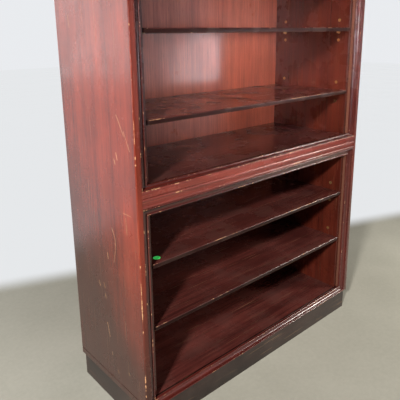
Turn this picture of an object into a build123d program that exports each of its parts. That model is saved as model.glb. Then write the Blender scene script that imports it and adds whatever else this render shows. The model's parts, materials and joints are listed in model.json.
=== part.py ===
"""Open mahogany bookcase: one tall carcass with two framed bays, each with two loose shelves on brass pins.

The origin is on the floor, under the middle of the case. +X is to the right, +Y to the back and +Z up.
An inset is measured in from the outer face of a side panel, and a setback back from the front plane.
"""
from build123d import *
import os

os.makedirs("parts", exist_ok=True)

# ---- driving dimensions, in millimetres ----
WIDTH = 914.0  # outside of one side panel to the outside of the other
DEPTH = 336.0  # front plane to the rear edge of the side panels
HEIGHT = 1219.0  # floor to the top of the top panel
PLINTH_HEIGHT = 72.0
PLINTH_THICKNESS = 20.0
PLINTH_FRONT_RECESS = 8.0
PLINTH_SIDE_RECESS = 6.0
PLINTH_BACK_RECESS = 4.0
CORNER_BLOCK_LEG = 38.0
CORNER_BLOCK_GAP = 12.0  # from the floor to a corner block

SIDE_THICKNESS = 14.0
SIDE_CORNER_RADIUS = 3.5  # the rounded front corner of a side panel
SIDE_BAND_GROOVE = 2.0  # width of the groove that sets off the band at the foot of a side panel
SIDE_BAND_GROOVE_DEPTH = 1.5
TOP_THICKNESS = 19.0
TOP_EDGE_RADIUS = 5.0
BOTTOM_BOARD_THICKNESS = 19.0
MIDDLE_BOARD_THICKNESS = 22.0
BOARD_EDGE_RADIUS = 1.2

BATTEN_THICKNESS = 23.0  # keeps a lining away from its side panel
BATTEN_WIDTH = 30.0
LINING_THICKNESS = 12.0
DOOR_CHANNEL = 8.0  # room for a sliding glass door, between the front frame and the linings
TRACK_WIDTH = 6.0  # groove in a board, which a sliding glass door would run in
TRACK_DEPTH = 5.0

FRAME_THICKNESS = 14.0  # front to back, for the mid rail and every frame strip
FRAME_WIDTH = 22.0  # a strip at the side or the top of a bay's opening
FRAME_SILL_WIDTH = 10.0  # the strip along the bottom of the upper opening
SILL_LIP = 1.0  # how far that strip stands above the middle board
OUTER_BEAD_RADIUS = 1.8
QUIRK_WIDTH = 1.4
QUIRK_DEPTH = 3.6
INNER_BEAD_RADIUS = 2.8
INNER_BEAD_SETBACK = 8.4  # crown of the inner bead, behind the front plane
LOWER_OPENING_HEIGHT = 548.0  # between the outer edges of the lower bay's frame strips
MID_RAIL_HEIGHT = 44.0
MID_RAIL_BEAD = 8.0  # height of the bead along its lower edge
MID_RAIL_BAND = 8.0  # the sunk band above that
MID_RAIL_UPPER_BEAD = 9.0
MID_RAIL_STEP = 2.0  # how far the sunk band lies behind the crowns of the beads
MID_RAIL_TOP_RADIUS = 2.0

BACK_THICKNESS = 6.0
BACK_INSET = 2.0  # rear face of a back panel, in from the rear edge of the side panels

SHELF_THICKNESS = 12.0
SHELF_EDGE_RADIUS = 2.5
SHELF_SETBACK = 19.0
SHELF_END_CLEARANCE = 1.5
SHELF_BACK_CLEARANCE = 2.0
UPPER_SHELF_FRACTIONS = (0.645, 0.26)  # undersides, as parts of the bay's clear height
LOWER_SHELF_FRACTIONS = (0.645, 0.336)

PIN_RADIUS = 3.0
PIN_FLAT = 0.7  # cut off the top of a pin's tongue, where the shelf lies
PIN_TONGUE = 10.0
PIN_PEG = 9.0
PIN_COLUMN_INSET = 42.0  # from a shelf's front or back edge to its pins
SOCKET_RADIUS = 4.5
SOCKET_FLANGE_RADIUS = 5.2
SOCKET_FLANGE = 0.7
SOCKET_LENGTH = 10.0
SOCKET_PITCH = 25.4
SOCKET_STEPS = (-1, 0, 1.5)  # levels of the sockets round each shelf's pins, in pitches
FIT_CLEARANCE = 0.1  # radial, for a pin in its socket, or a dowel in its hole

SCREW_RADIUS = 1.7
SCREW_HEAD_RADIUS = 3.6
SCREW_HEAD = 2.1
SCREW_LENGTH = 24.0
SCREW_POINT = 4.0  # length of its tapered tip
SCREW_SLOT_WIDTH = 0.9
SCREW_SLOT_DEPTH = 1.1
SCREWS_PER_SIDE = 4
SCREW_MARGIN = 30.0  # from the floor or the ceiling of a bay to the nearest screw

DOWEL_RADIUS = 4.0
DOWEL_LENGTH = 26.0
DOWEL_IN_SIDE = 9.0  # how much of a board's dowel is in the side panel
DOWELS_PER_END = 3
BOARD_DOWEL_MARGIN = 40.0  # from a board's front or back edge to the nearest dowel
TOP_DOWEL_MARGIN = 50.0

# ---- derived places ----
HALF_WIDTH = WIDTH / 2
FRONT = -DEPTH / 2
REAR = DEPTH / 2
BOTTOM_BOARD_TOP = PLINTH_HEIGHT + BOTTOM_BOARD_THICKNESS
MID_RAIL_BOTTOM = PLINTH_HEIGHT + LOWER_OPENING_HEIGHT
MID_RAIL_TOP = MID_RAIL_BOTTOM + MID_RAIL_HEIGHT
MIDDLE_BOARD_TOP = MID_RAIL_TOP + FRAME_SILL_WIDTH - SILL_LIP
MIDDLE_BOARD_BOTTOM = MIDDLE_BOARD_TOP - MIDDLE_BOARD_THICKNESS
CASE_TOP = HEIGHT - TOP_THICKNESS
FRAME_BACK = FRONT + FRAME_THICKNESS
BACK_REAR = REAR - BACK_INSET
BACK_FRONT = BACK_REAR - BACK_THICKNESS
INSIDE_HALF = HALF_WIDTH - SIDE_THICKNESS
LINING_INSET = SIDE_THICKNESS + BATTEN_THICKNESS
LINING_FACE_INSET = LINING_INSET + LINING_THICKNESS
LINING_FRONT = FRAME_BACK + DOOR_CHANNEL
SHELF_FRONT = FRONT + SHELF_SETBACK
SHELF_BACK = BACK_FRONT - SHELF_BACK_CLEARANCE
SHELF_LENGTH = 2 * (HALF_WIDTH - LINING_FACE_INSET - SHELF_END_CLEARANCE)
BAYS = {
    "upper": (MIDDLE_BOARD_TOP, CASE_TOP),
    "lower": (BOTTOM_BOARD_TOP, MIDDLE_BOARD_BOTTOM),
}
BAY_SHELVES = {"upper": UPPER_SHELF_FRACTIONS, "lower": LOWER_SHELF_FRACTIONS}
SIDES = {"left": -1, "right": 1}


def write(piece, name):
    """Labels a finished piece and writes its file."""
    piece.part.label = name
    export_step(piece.part, f"parts/{name}.step")


def span(sign, inset_a, inset_b):
    """Lowest and highest x of what lies between two insets on one side of the case."""
    return sorted((sign * (HALF_WIDTH - inset_a), sign * (HALF_WIDTH - inset_b)))


def slab(xs, ys, zs):
    """A plain board between two values on each axis, for use inside a BuildPart."""
    centre = tuple((low + high) / 2 for low, high in (xs, ys, zs))
    with Locations(centre):
        Box(*(high - low for low, high in (xs, ys, zs)))


def spread(low, high, count, margin):
    """Evenly spaced places between two limits, a margin in from each."""
    step = (high - low - 2 * margin) / (count - 1)
    return [low + margin + i * step for i in range(count)]


def upright_face(x, facing, places):
    """Planes at places (y, z) on an upright face that looks along X, to one side or the other."""
    return [Plane((x, y, z), (0, 1, 0), (facing, 0, 0)) for y, z in places]


def rear_face(y, facing, places):
    """Planes at places (x, z) on an upright face that looks along Y, to the back or the front."""
    return [Plane((x, y, z), (1, 0, 0), (0, facing, 0)) for x, z in places]


def shelf_levels(bay):
    """Underside of each shelf of a bay, the upper one first."""
    floor, ceiling = BAYS[bay]
    return [floor + (ceiling - floor) * part for part in BAY_SHELVES[bay]]


def dowel_rows(board_bottom, board_top):
    """Places (y, z) of the dowels in one end of a board."""
    level = (board_bottom + board_top) / 2
    ys = spread(FRAME_BACK, BACK_FRONT, DOWELS_PER_END, BOARD_DOWEL_MARGIN)
    return [(y, level) for y in ys]


BOARD_DOWELS = {
    "middle_board": dowel_rows(MIDDLE_BOARD_BOTTOM, MIDDLE_BOARD_TOP),
    "bottom_board": dowel_rows(PLINTH_HEIGHT, BOTTOM_BOARD_TOP),
}
TOP_DOWEL_YS = spread(FRONT, REAR, DOWELS_PER_END, TOP_DOWEL_MARGIN)
TOP_DOWEL_DEPTH = TOP_THICKNESS / 2


# ---- side panels ----
def side_panel(side, sign):
    outer = sign * HALF_WIDTH
    inner = sign * INSIDE_HALF
    with BuildPart() as panel:
        slab(span(sign, 0, SIDE_THICKNESS), (FRONT, REAR), (PLINTH_HEIGHT, CASE_TOP))
        outermost = -1 if sign > 0 else 0
        front_uprights = panel.edges().filter_by(Axis.Z).group_by(Axis.Y)[0]
        fillet(front_uprights.sort_by(Axis.X)[outermost], radius=SIDE_CORNER_RADIUS)
        feet = panel.edges().filter_by(Axis.Y).group_by(Axis.Z)[0]
        chamfer(feet.sort_by(Axis.X)[outermost], length=SIDE_BAND_GROOVE_DEPTH)
        with BuildSketch(Plane.XZ.offset(-FRONT)):
            with Locations((outer, BOTTOM_BOARD_TOP)):
                Rectangle(2 * SIDE_BAND_GROOVE_DEPTH, SIDE_BAND_GROOVE)
        extrude(amount=-DEPTH, mode=Mode.SUBTRACT)
        for rows in BOARD_DOWELS.values():
            with Locations(*upright_face(inner, -sign, rows)):
                Hole(DOWEL_RADIUS + FIT_CLEARANCE, depth=DOWEL_IN_SIDE + FIT_CLEARANCE)
        middle = sign * (HALF_WIDTH - SIDE_THICKNESS / 2)
        with Locations(*[Plane((middle, y, CASE_TOP)) for y in TOP_DOWEL_YS]):
            Hole(DOWEL_RADIUS + FIT_CLEARANCE, depth=DOWEL_LENGTH - TOP_DOWEL_DEPTH + FIT_CLEARANCE)
    write(panel, f"side_panel_{side}")


# ---- boards ----
def top_panel():
    with BuildPart() as panel:
        slab((-HALF_WIDTH, HALF_WIDTH), (FRONT, REAR), (CASE_TOP, HEIGHT))
        corners = panel.edges().filter_by(Axis.Z).group_by(Axis.Y)[0]
        fillet(corners, radius=SIDE_CORNER_RADIUS)
        front_rim = panel.faces().sort_by(Axis.Z)[-1].edges().sort_by(Axis.Y)[:-1]
        fillet(front_rim, radius=TOP_EDGE_RADIUS)
        for sign in SIDES.values():
            middle = sign * (HALF_WIDTH - SIDE_THICKNESS / 2)
            with Locations(*[Plane((middle, y, CASE_TOP), z_dir=(0, 0, -1)) for y in TOP_DOWEL_YS]):
                Hole(DOWEL_RADIUS + FIT_CLEARANCE, depth=TOP_DOWEL_DEPTH + FIT_CLEARANCE)
    write(panel, "top_panel")


def track_board(name, bottom, top):
    """A fixed board across the case, with the groove of a sliding glass door near its front edge."""
    with BuildPart() as board:
        slab((-INSIDE_HALF, INSIDE_HALF), (FRAME_BACK, BACK_FRONT), (bottom, top))
        track_half = HALF_WIDTH - LINING_INSET
        with BuildSketch(Plane.XY.offset(top)):
            with Locations((0, FRAME_BACK + DOOR_CHANNEL / 2)):
                Rectangle(2 * track_half, TRACK_WIDTH)
        extrude(amount=-TRACK_DEPTH, mode=Mode.SUBTRACT)
        for sign in SIDES.values():
            with Locations(*upright_face(sign * INSIDE_HALF, sign, BOARD_DOWELS[name])):
                Hole(DOWEL_RADIUS + FIT_CLEARANCE, depth=DOWEL_LENGTH - DOWEL_IN_SIDE + FIT_CLEARANCE)
    write(board, name)


def board_dowels(name):
    with BuildPart() as dowels:
        for sign in SIDES.values():
            start = sign * (INSIDE_HALF + DOWEL_IN_SIDE)
            with Locations(*upright_face(start, -sign, BOARD_DOWELS[name])):
                Cylinder(DOWEL_RADIUS, DOWEL_LENGTH, align=(Align.CENTER, Align.CENTER, Align.MIN))
    write(dowels, f"{name}_dowels")


def top_dowels():
    bottom = CASE_TOP + TOP_DOWEL_DEPTH - DOWEL_LENGTH
    xs = [sign * (HALF_WIDTH - SIDE_THICKNESS / 2) for sign in SIDES.values()]
    with BuildPart() as dowels:
        with Locations(*[(x, y, bottom) for x in xs for y in TOP_DOWEL_YS]):
            Cylinder(DOWEL_RADIUS, DOWEL_LENGTH, align=(Align.CENTER, Align.CENTER, Align.MIN))
    write(dowels, "top_dowels")


# ---- front frame ----
def frame_strip(name, corner, inward, run, length, widths):
    """One mitred strip of a bay's frame: an outer bead, a quirk, a cove and an inner bead.

    The strip runs from an outer corner of the opening. widths are its own, and those of the strips
    that it meets at its start and at its end. Across a narrower strip the same profile is squeezed,
    so that it still meets its neighbours at the mitres.
    """
    width, start_width, end_width = widths
    k = width / FRAME_WIDTH
    quirk_start = 2 * OUTER_BEAD_RADIUS
    cove_start = quirk_start + QUIRK_WIDTH
    cove_end = FRAME_WIDTH - 2 * INNER_BEAD_RADIUS
    cove_width = cove_end - cove_start
    bead_base = INNER_BEAD_SETBACK + INNER_BEAD_RADIUS
    bead_centre = FRAME_WIDTH - INNER_BEAD_RADIUS
    inward = Vector(*inward)
    run = Vector(*run)
    with BuildPart() as strip:
        with BuildSketch(Plane(corner, x_dir=inward, z_dir=run)):
            with BuildLine():
                EllipticalCenterArc(
                    (OUTER_BEAD_RADIUS * k, OUTER_BEAD_RADIUS),
                    OUTER_BEAD_RADIUS * k,
                    OUTER_BEAD_RADIUS,
                    start_angle=180,
                    arc_size=180,
                )
                Polyline(
                    (quirk_start * k, OUTER_BEAD_RADIUS),
                    (quirk_start * k, QUIRK_DEPTH),
                    (cove_start * k, QUIRK_DEPTH),
                )
                EllipticalCenterArc(
                    (cove_end * k, QUIRK_DEPTH),
                    cove_width * k,
                    bead_base - QUIRK_DEPTH,
                    start_angle=90,
                    arc_size=90,
                )
                EllipticalCenterArc(
                    (bead_centre * k, bead_base),
                    INNER_BEAD_RADIUS * k,
                    INNER_BEAD_RADIUS,
                    start_angle=180,
                    arc_size=180,
                )
                Polyline(
                    (width, bead_base),
                    (width, FRAME_THICKNESS),
                    (0, FRAME_THICKNESS),
                    (0, OUTER_BEAD_RADIUS),
                )
            make_face()
        extrude(amount=length)
        split(bisect_by=Plane(corner, z_dir=run * width - inward * start_width), keep=Keep.TOP)
        far = Vector(*corner) + run * length
        split(bisect_by=Plane(far, z_dir=run * -width - inward * end_width), keep=Keep.TOP)
    write(strip, name)


def bay_frame(bay, bottom, top, bottom_width):
    """The four strips round one opening, named after the bay."""
    high = top - bottom
    wide = 2 * INSIDE_HALF
    side = (FRAME_WIDTH, bottom_width, FRAME_WIDTH)
    side_down = (FRAME_WIDTH, FRAME_WIDTH, bottom_width)
    left_low = (-INSIDE_HALF, FRONT, bottom)
    right_low = (INSIDE_HALF, FRONT, bottom)
    left_high = (-INSIDE_HALF, FRONT, top)
    right_high = (INSIDE_HALF, FRONT, top)
    frame_strip(f"{bay}_frame_left", left_low, (1, 0, 0), (0, 0, 1), high, side)
    frame_strip(f"{bay}_frame_right", right_high, (-1, 0, 0), (0, 0, -1), high, side_down)
    frame_strip(f"{bay}_frame_top", left_high, (0, 0, -1), (1, 0, 0), wide, (FRAME_WIDTH,) * 3)
    ends = (bottom_width, FRAME_WIDTH, FRAME_WIDTH)
    frame_strip(f"{bay}_frame_bottom", right_low, (0, 0, 1), (-1, 0, 0), wide, ends)


def mid_rail():
    """The rail between the bays. From the bottom up: a bead, a band, a bead, a quirk and a flat."""
    z = MID_RAIL_BOTTOM
    top = MID_RAIL_TOP
    band = FRONT + MID_RAIL_STEP
    upper_bead = z + MID_RAIL_BEAD + MID_RAIL_BAND
    quirk = upper_bead + MID_RAIL_UPPER_BEAD
    flat = quirk + QUIRK_WIDTH
    r = MID_RAIL_TOP_RADIUS
    with BuildPart() as rail:
        with BuildSketch(Plane.YZ.offset(-INSIDE_HALF)):
            with BuildLine():
                Polyline((band, z), (FRAME_BACK, z), (FRAME_BACK, top), (FRONT + r, top))
                CenterArc((FRONT + r, top - r), r, 90, 90)
                Polyline((FRONT, top - r), (FRONT, flat), (FRONT + QUIRK_DEPTH, flat))
                Polyline((FRONT + QUIRK_DEPTH, flat), (FRONT + QUIRK_DEPTH, quirk), (band, quirk))
                ThreePointArc((band, quirk), (FRONT, (quirk + upper_bead) / 2), (band, upper_bead))
                Line((band, upper_bead), (band, z + MID_RAIL_BEAD))
                ThreePointArc((band, z + MID_RAIL_BEAD), (FRONT, z + MID_RAIL_BEAD / 2), (band, z))
            make_face()
        extrude(amount=2 * INSIDE_HALF)
    write(rail, "mid_rail")


# ---- linings and the battens behind them ----
def lining(bay, side, sign):
    """The inner wall of a bay, with the holes for its pin sockets."""
    face = sign * (HALF_WIDTH - LINING_FACE_INSET)
    with BuildPart() as wall:
        slab(span(sign, LINING_INSET, LINING_FACE_INSET), (LINING_FRONT, BACK_FRONT), BAYS[bay])
        inner_front = wall.edges().filter_by(Axis.Z).group_by(Axis.Y)[0].sort_by(Axis.X)
        fillet(inner_front[0] if sign > 0 else inner_front[-1], radius=BOARD_EDGE_RADIUS)
        with Locations(*upright_face(face, -sign, socket_places(bay))):
            Hole(SOCKET_RADIUS + FIT_CLEARANCE, depth=SOCKET_LENGTH + FIT_CLEARANCE)
    write(wall, f"lining_{bay}_{side}")


def batten(bay, side, sign, end):
    ys = {
        "front": (FRAME_BACK, FRAME_BACK + BATTEN_WIDTH),
        "back": (BACK_FRONT - BATTEN_WIDTH, BACK_FRONT),
    }[end]
    with BuildPart() as strip:
        slab(span(sign, SIDE_THICKNESS, LINING_INSET), ys, BAYS[bay])
        if end == "back":
            with Locations(*rear_face(BACK_FRONT, 1, screw_places(bay)[side])):
                Hole(SCREW_RADIUS + FIT_CLEARANCE, depth=SCREW_LENGTH)
    write(strip, f"batten_{bay}_{side}_{end}")


# ---- back panels and their screws ----
def back_limits(bay):
    """Lowest and highest z of a back panel. The two panels meet behind the middle board."""
    joint = (MIDDLE_BOARD_BOTTOM + MIDDLE_BOARD_TOP) / 2
    return (joint, CASE_TOP) if bay == "upper" else (PLINTH_HEIGHT, joint)


def screw_places(bay):
    """Places (x, z) of the screws that hold a back panel to the rear battens, for each side."""
    inset = SIDE_THICKNESS + BATTEN_THICKNESS / 2
    levels = spread(*BAYS[bay], SCREWS_PER_SIDE, SCREW_MARGIN)
    return {side: [(sign * (HALF_WIDTH - inset), z) for z in levels] for side, sign in SIDES.items()}


def back_panel(bay):
    places = [place for side in screw_places(bay).values() for place in side]
    with BuildPart() as panel:
        slab((-INSIDE_HALF, INSIDE_HALF), (BACK_FRONT, BACK_REAR), back_limits(bay))
        with Locations(*rear_face(BACK_REAR, 1, places)):
            CounterSinkHole(
                radius=SCREW_RADIUS + FIT_CLEARANCE,
                counter_sink_radius=SCREW_HEAD_RADIUS + 2 * FIT_CLEARANCE,
                depth=BACK_THICKNESS,
            )
    write(panel, f"back_panel_{bay}")


def back_screws(bay):
    places = [place for side in screw_places(bay).values() for place in side]
    with BuildPart(mode=Mode.PRIVATE) as screw:
        with BuildSketch(Plane.XZ):
            with BuildLine():
                Polyline(
                    (0, 0),
                    (SCREW_HEAD_RADIUS, 0),
                    (SCREW_RADIUS, SCREW_HEAD),
                    (SCREW_RADIUS, SCREW_LENGTH - SCREW_POINT),
                    (0, SCREW_LENGTH),
                    close=True,
                )
            make_face()
        revolve(axis=Axis.Z)
        with BuildSketch(Plane.XY):
            Rectangle(2 * SCREW_HEAD_RADIUS, SCREW_SLOT_WIDTH)
        extrude(amount=SCREW_SLOT_DEPTH, mode=Mode.SUBTRACT)
    with BuildPart() as screws:
        with Locations(*rear_face(BACK_REAR, -1, places)):
            add(screw.part)
    write(screws, f"back_screws_{bay}")


# ---- shelves, pins and sockets ----
def pin_columns():
    """Setbacks (y) of the front and the back column of pins."""
    return (SHELF_FRONT + PIN_COLUMN_INSET, SHELF_BACK - PIN_COLUMN_INSET)


def pin_level(underside):
    """Height of a pin's centre line, with its flat against the underside of a shelf."""
    return underside - PIN_RADIUS + PIN_FLAT


def socket_places(bay):
    """Places (y, z) of the sockets in one lining: three in each column for each shelf."""
    steps = [step * SOCKET_PITCH for step in SOCKET_STEPS]
    levels = [pin_level(underside) + step for underside in shelf_levels(bay) for step in steps]
    return [(y, z) for y in pin_columns() for z in levels]


def pin_sockets(bay, side, sign):
    face = sign * (HALF_WIDTH - LINING_FACE_INSET)
    with BuildPart() as sockets:
        with Locations(*upright_face(face, -sign, socket_places(bay))):
            Cylinder(SOCKET_FLANGE_RADIUS, SOCKET_FLANGE, align=(Align.CENTER, Align.CENTER, Align.MIN))
            Cylinder(SOCKET_RADIUS, SOCKET_LENGTH, align=(Align.CENTER, Align.CENTER, Align.MAX))
            with Locations((0, 0, SOCKET_FLANGE)):
                Hole(PIN_RADIUS + FIT_CLEARANCE, depth=SOCKET_FLANGE + PIN_PEG + FIT_CLEARANCE)
    write(sockets, f"pin_sockets_{bay}_{side}")


def shelf_pins(name, underside):
    places = [(y, pin_level(underside)) for y in pin_columns()]
    with BuildPart() as pins:
        for sign in SIDES.values():
            face = sign * (HALF_WIDTH - LINING_FACE_INSET)
            with Locations(*upright_face(face + sign * PIN_PEG, -sign, places)):
                Cylinder(PIN_RADIUS, PIN_PEG + PIN_TONGUE, align=(Align.CENTER, Align.CENTER, Align.MIN))
            tongue = face - sign * (PIN_TONGUE + SOCKET_FLANGE) / 2
            with Locations(*[(tongue, y, underside + PIN_FLAT / 2) for y in pin_columns()]):
                Box(PIN_TONGUE - SOCKET_FLANGE, 2 * PIN_RADIUS, PIN_FLAT, mode=Mode.SUBTRACT)
    write(pins, f"{name}_pins")


def shelf(name, underside):
    half = SHELF_LENGTH / 2
    with BuildPart() as board:
        slab((-half, half), (SHELF_FRONT, SHELF_BACK), (underside, underside + SHELF_THICKNESS))
        front_edges = board.edges().filter_by(Axis.X).group_by(Axis.Y)[0]
        fillet(front_edges, radius=SHELF_EDGE_RADIUS)
    write(board, name)


# ---- plinth ----
def plinth():
    zs = (0, PLINTH_HEIGHT)
    half = HALF_WIDTH - PLINTH_SIDE_RECESS
    front = FRONT + PLINTH_FRONT_RECESS
    back = REAR - PLINTH_BACK_RECESS
    inner_half = half - PLINTH_THICKNESS
    with BuildPart() as front_board:
        slab((-half, half), (front, front + PLINTH_THICKNESS), zs)
        fillet(front_board.edges().filter_by(Axis.Z).group_by(Axis.Y)[0], radius=BOARD_EDGE_RADIUS)
    write(front_board, "plinth_front")
    with BuildPart() as back_board:
        slab((-half, half), (back - PLINTH_THICKNESS, back), zs)
        fillet(back_board.edges().filter_by(Axis.Z).group_by(Axis.Y)[-1], radius=BOARD_EDGE_RADIUS)
    write(back_board, "plinth_back")
    for side, sign in SIDES.items():
        xs = sorted((sign * half, sign * inner_half))
        with BuildPart() as side_board:
            slab(xs, (front + PLINTH_THICKNESS, back - PLINTH_THICKNESS), zs)
        write(side_board, f"plinth_{side}")
    corner_blocks(inner_half, front + PLINTH_THICKNESS, back - PLINTH_THICKNESS)


def corner_blocks(inner_half, front, back):
    """Triangular glue blocks, clear of the floor, in the four corners inside the plinth."""
    leg = CORNER_BLOCK_LEG
    with BuildPart() as blocks:
        with BuildSketch(Plane.XY.offset(CORNER_BLOCK_GAP)):
            for x_sign in SIDES.values():
                for y, y_sign in ((front, 1), (back, -1)):
                    corner = (x_sign * inner_half, y)
                    along = (x_sign * (inner_half - leg), y)
                    across = (x_sign * inner_half, y + y_sign * leg)
                    with BuildLine():
                        Polyline(corner, along, across, close=True)
                    make_face()
        extrude(amount=PLINTH_HEIGHT - CORNER_BLOCK_GAP)
    write(blocks, "plinth_corner_blocks")


for side_name, side_sign in SIDES.items():
    side_panel(side_name, side_sign)
top_panel()
track_board("middle_board", MIDDLE_BOARD_BOTTOM, MIDDLE_BOARD_TOP)
track_board("bottom_board", PLINTH_HEIGHT, BOTTOM_BOARD_TOP)
board_dowels("middle_board")
board_dowels("bottom_board")
top_dowels()
bay_frame("lower", PLINTH_HEIGHT, MID_RAIL_BOTTOM, BOTTOM_BOARD_THICKNESS)
bay_frame("upper", MID_RAIL_TOP, CASE_TOP, FRAME_SILL_WIDTH)
mid_rail()
for bay_name in BAYS:
    back_panel(bay_name)
    back_screws(bay_name)
    for side_name, side_sign in SIDES.items():
        lining(bay_name, side_name, side_sign)
        pin_sockets(bay_name, side_name, side_sign)
        for end_name in ("front", "back"):
            batten(bay_name, side_name, side_sign, end_name)
    for number, level in enumerate(shelf_levels(bay_name), start=1):
        shelf(f"{bay_name}_shelf_{number}", level)
        shelf_pins(f"{bay_name}_shelf_{number}", level)
plinth()
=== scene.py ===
"""Open mahogany bookcase: worn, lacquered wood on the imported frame, on a pale floor in soft studio light."""
import json
import math
import random

import bmesh
import bpy
import numpy as np
from mathutils import Matrix, Vector

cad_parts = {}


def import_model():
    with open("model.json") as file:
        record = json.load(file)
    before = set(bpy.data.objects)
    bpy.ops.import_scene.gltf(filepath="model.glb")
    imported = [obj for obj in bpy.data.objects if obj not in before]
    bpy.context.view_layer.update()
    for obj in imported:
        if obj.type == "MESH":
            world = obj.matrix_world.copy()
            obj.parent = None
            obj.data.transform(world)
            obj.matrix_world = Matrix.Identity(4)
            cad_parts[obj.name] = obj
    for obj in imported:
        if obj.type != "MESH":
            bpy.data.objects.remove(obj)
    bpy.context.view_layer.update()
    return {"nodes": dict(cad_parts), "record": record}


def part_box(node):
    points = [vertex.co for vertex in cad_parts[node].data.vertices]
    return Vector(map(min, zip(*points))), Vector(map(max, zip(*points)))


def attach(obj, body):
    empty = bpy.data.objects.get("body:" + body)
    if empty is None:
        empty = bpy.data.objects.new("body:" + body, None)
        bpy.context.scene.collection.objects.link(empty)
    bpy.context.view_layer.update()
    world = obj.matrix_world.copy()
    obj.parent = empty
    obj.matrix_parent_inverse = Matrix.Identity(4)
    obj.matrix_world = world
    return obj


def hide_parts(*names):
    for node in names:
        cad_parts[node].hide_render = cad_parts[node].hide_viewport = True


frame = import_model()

MM = 0.001
X, Y, Z = (Vector(axis) for axis in ((1, 0, 0), (0, 1, 0), (0, 0, 1)))
NODES = frame["nodes"]
BODIES = frame["record"]["behaviour"]["bodies"]
BODY_OF = {node: body for body, nodes in BODIES.items() for node in nodes}

# Profile sizes that the CAD's boxes don't give.
SIDE_CORNER_RADIUS = 3.5 * MM
BAND_GROOVE_DEPTH = 1.5 * MM
BAND_GROOVE_WIDTH = 2.0 * MM
OUTER_BEAD = 1.8 * MM
QUIRK = 1.4 * MM
QUIRK_DEPTH = 3.6 * MM
INNER_BEAD = 2.8 * MM
INNER_BEAD_SETBACK = 8.4 * MM
FULL_STRIP = 22.0 * MM
RAIL_BEAD = 8.0 * MM
RAIL_BAND = 8.0 * MM
RAIL_UPPER_BEAD = 9.0 * MM
RAIL_STEP = 2.0 * MM
RAIL_TOP_RADIUS = 2.0 * MM
SHELF_EDGE = 2.5 * MM

# How the worn pieces are meshed and worn.
SIDE_RING = 3.0 * MM  # spacing of the rings along a side panel,
STRIP_RING = 2.5 * MM  # along a frame strip or a shelf,
RAIL_RING = 2.2 * MM  # and along the rail
GROOVE_WALL = 0.05 * MM  # run of the steep wall on each side of the band's groove
CORNER_CROWN = 0.29  # how far in from both faces a round corner's middle lies, as a part of its radius
STRONGEST_CHIP = 1.5  # a chip of this strength has its edge's full depth
RUB_DEPTH = 0.25 * MM  # wood taken off where the rubbing is 1
SHARP_ANGLE = 38.0  # degrees: edges that turn by more stay sharp
ARRIS_ANGLE = 50.0  # degrees: CAD edges that turn by more get a small bevel

# The price dot on the upper one of the lower shelves.
DOT_PLACE = (-0.377, -0.124)
DOT_RADIUS = 9.5 * MM
DOT_SIDES = 48
DOT_CURL = 0.35  # mm: how far the rim lifts on one side
DOT_CURL_TOWARDS = 0.6  # radians from +X
PAINTED_GLOW = 0.35  # painted glow, so that the green paper stays bright in the shade too

# Behind the object the floor turns into a white sweep. It starts at a straight line on the floor, which
# crosses x = 0 this far back, leans by this much for each metre of x, and blends over this many metres.
SWEEP_START = 0.71
SWEEP_LEAN = -0.37
SWEEP_BLEND = 0.16
SWEEP_MIRRORED = 1.35  # brightness of the sweep in reflections, beside how it looks
SWEEP_SHED = 0.35  # and as a source of soft light
SWEEP_BRIGHTNESS = 0.84
SWEEP_ROUND = (1.9, 3.2)  # all round the object it starts and is complete this far out
SWEEP_ROUND_SHED = 0.05
FLOOR_HALF = 14.0  # half the floor's width

# The photograph's viewpoint, in metres and radians. The yaw turns from straight ahead, +Y, to the right.
CAMERA_PLACE = (-1.0260, -1.0329, 1.0115)
YAW, PITCH, ROLL = 0.7209, 0.2458, -0.0127
SENSOR_WIDTH = 36.0  # mm
FOCAL_LENGTH = 43.21  # mm
LENS_SHIFT = -0.115  # down, so that the case's foot is in view


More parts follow.
